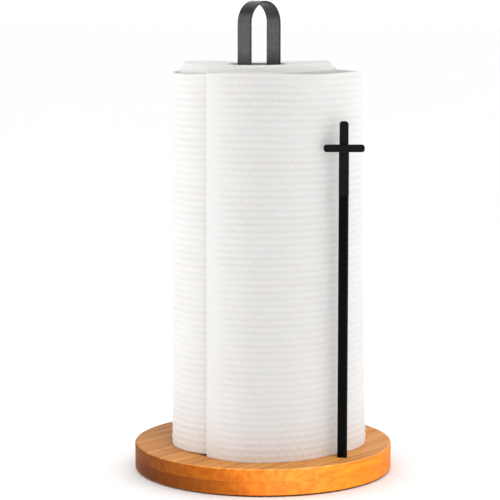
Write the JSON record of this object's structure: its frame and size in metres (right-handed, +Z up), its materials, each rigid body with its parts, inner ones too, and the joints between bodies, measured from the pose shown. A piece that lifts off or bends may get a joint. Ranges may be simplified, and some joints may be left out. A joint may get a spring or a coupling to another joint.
{
  "type": "paper towel holder",
  "caption": "Countertop paper towel holder: round bamboo base, black inverted-U strap post, slim arm with a cross on top, and a roll of embossed towels with a loose outer turn.",
  "frame": {"origin": "middle of the base, in the plane of the rubber feet's soles", "axes": "+Z up along the post, -Y the front that the cross faces, +X to the right of someone facing the front"},
  "size_m": [0.1906, 0.1906, 0.3454],
  "materials": {
    "bamboo": "carbonised laminated bamboo, satin lacquer",
    "black_powder_coat": "fine matt black powder coat on steel",
    "zinc_steel": "zinc plated",
    "rubber": "matt",
    "cardboard": "raw spiral-wound board",
    "paper": "soft embossed two-ply tissue"
  },
  "bodies": {
    "holder": {"bamboo_base": "bamboo", "center_post": "black_powder_coat", "post_foot_bar": "black_powder_coat", "arm_bar": "black_powder_coat", "arm_joint_stud": "zinc_steel", "cross_upright": "black_powder_coat", "cross_bar": "black_powder_coat", "post_left_screw": "zinc_steel", "post_left_washer": "zinc_steel", "post_right_screw": "zinc_steel", "post_right_washer": "zinc_steel", "arm_screw": "zinc_steel", "arm_washer": "zinc_steel", "rubber_foot_1": "rubber", "rubber_foot_2": "rubber", "rubber_foot_3": "rubber", "rubber_foot_4": "rubber"},
    "core": {"cardboard_core": "cardboard"},
    "paper": {"towel_roll": "paper", "loose_sheet": "paper"}
  },
  "joints": [
    {"name": "roll_lift_off", "type": "slide", "parent": "holder", "child": "core", "axis": [0, 0, 1], "range_m": [0, 0.33]},
    {"name": "roll_spin", "type": "hinge", "parent": "core", "child": "paper", "pos_m": [-0.00457, 0.00297, 0.16], "axis": [0, 0, 1], "continuous": true}
  ]
}
